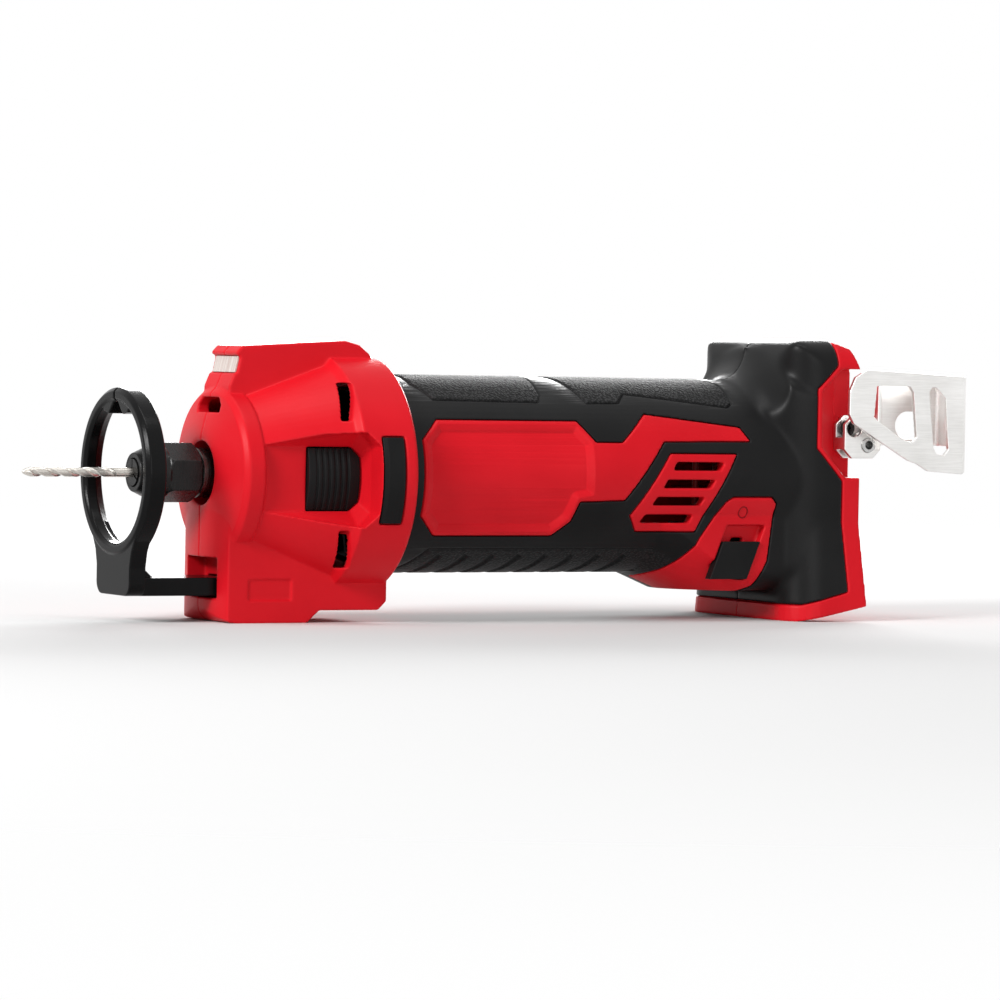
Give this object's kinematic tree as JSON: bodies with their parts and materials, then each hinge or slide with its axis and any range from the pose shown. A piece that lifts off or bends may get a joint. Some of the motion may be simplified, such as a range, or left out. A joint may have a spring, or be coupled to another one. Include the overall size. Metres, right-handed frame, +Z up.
{
  "type": "drywall cut-out tool",
  "caption": "Cordless drywall cut-out tool: spiral bit in a collet, split depth guide, round overmoulded grip, slide switch, spindle lock button, battery foot and folding hook.",
  "frame": {"origin": "on the resting surface, under the middle of the tool's overall length and of its width", "axes": "+X from the bit's tip along the spindle axis to the hook at the rear, +Y to the user's right, +Z up from the resting surface"},
  "size_m": [0.3346, 0.0806, 0.096],
  "materials": {
    "red_plastic": "fine grain moulded red plastic",
    "soft_black": "matte black overmould",
    "black_plastic": "satin black plastic",
    "guide_black": "smooth black plastic",
    "bit_steel": "ground tool steel",
    "steel": "machined steel",
    "stamped_steel": "bright stamped sheet steel",
    "dark_steel": "black oxide steel",
    "zinc_steel": "zinc plated drawn steel",
    "laminations": "dull dark iron",
    "copper": "varnished copper",
    "carbon": "dull carbon",
    "clear_lens": "clear moulded lens",
    "circuit_board": "solder mask",
    "terminal_brass": "plain brass",
    "lead_rubber": "insulated wire"
  },
  "bodies": {
    "housing": {"nose_left": "red_plastic", "nose_right": "red_plastic", "lamp_lens": "clear_lens", "lamp_board": "circuit_board", "front_bearing": "steel", "lock_spring": "steel", "collar_pad_left": "soft_black", "collar_pad_right": "soft_black", "nose_screws": "dark_steel", "shell_left": "red_plastic", "shell_right": "red_plastic", "grip_left": "soft_black", "grip_right": "soft_black", "handle_screws": "dark_steel", "motor_can": "zinc_steel", "magnets": "laminations", "brush_ring": "black_plastic", "brushes": "carbon", "rear_bearing": "steel", "switch_module": "black_plastic", "control_board": "circuit_board", "terminal_block": "black_plastic", "contact_blades": "terminal_brass", "leads": "lead_rubber", "hook_bracket": "stamped_steel", "hook_pin": "steel", "hook_screws": "dark_steel"},
    "rotor": {"bit": "bit_steel", "collet": "dark_steel", "collet_nut": "dark_steel", "spindle": "steel", "fan": "black_plastic", "armature": "laminations", "windings": "copper", "commutator": "copper"},
    "lock": {"lock_button": "black_plastic", "lock_pin": "steel"},
    "switch": {"switch_slider": "black_plastic"},
    "guide": {"depth_guide": "guide_black"},
    "clamp": {"clamp_screw": "black_plastic"},
    "hook": {"hook": "stamped_steel"}
  },
  "joints": [
    {"name": "spindle_spin", "type": "hinge", "parent": "housing", "child": "rotor", "pos_m": [0, 0, 0.0485], "axis": [1, 0, 0], "continuous": true},
    {"name": "lock_press", "type": "slide", "parent": "housing", "child": "lock", "axis": [0, 1, 0], "range_m": [0, 0.002], "stiffness_N_per_m": 500, "springref_m": -0.003, "deforming": ["lock_spring"]},
    {"name": "switch_slide", "type": "slide", "parent": "housing", "child": "switch", "axis": [0.3653, 0, 0.9309], "range_m": [0, 0.0058]},
    {"name": "guide_slide", "type": "slide", "parent": "housing", "child": "guide", "axis": [-1, 0, 0], "range_m": [-0.02, 0.01]},
    {"name": "clamp_turn", "type": "hinge", "parent": "housing", "child": "clamp", "pos_m": [-0.08775, 0.0208, 0.01165], "axis": [0, 1, 0], "range_deg": [0, 180]},
    {"name": "hook_fold", "type": "hinge", "parent": "housing", "child": "hook", "pos_m": [0.13025, -0.0313, 0.0602], "axis": [0, 1, 0], "range_deg": [0, 90]}
  ]
}
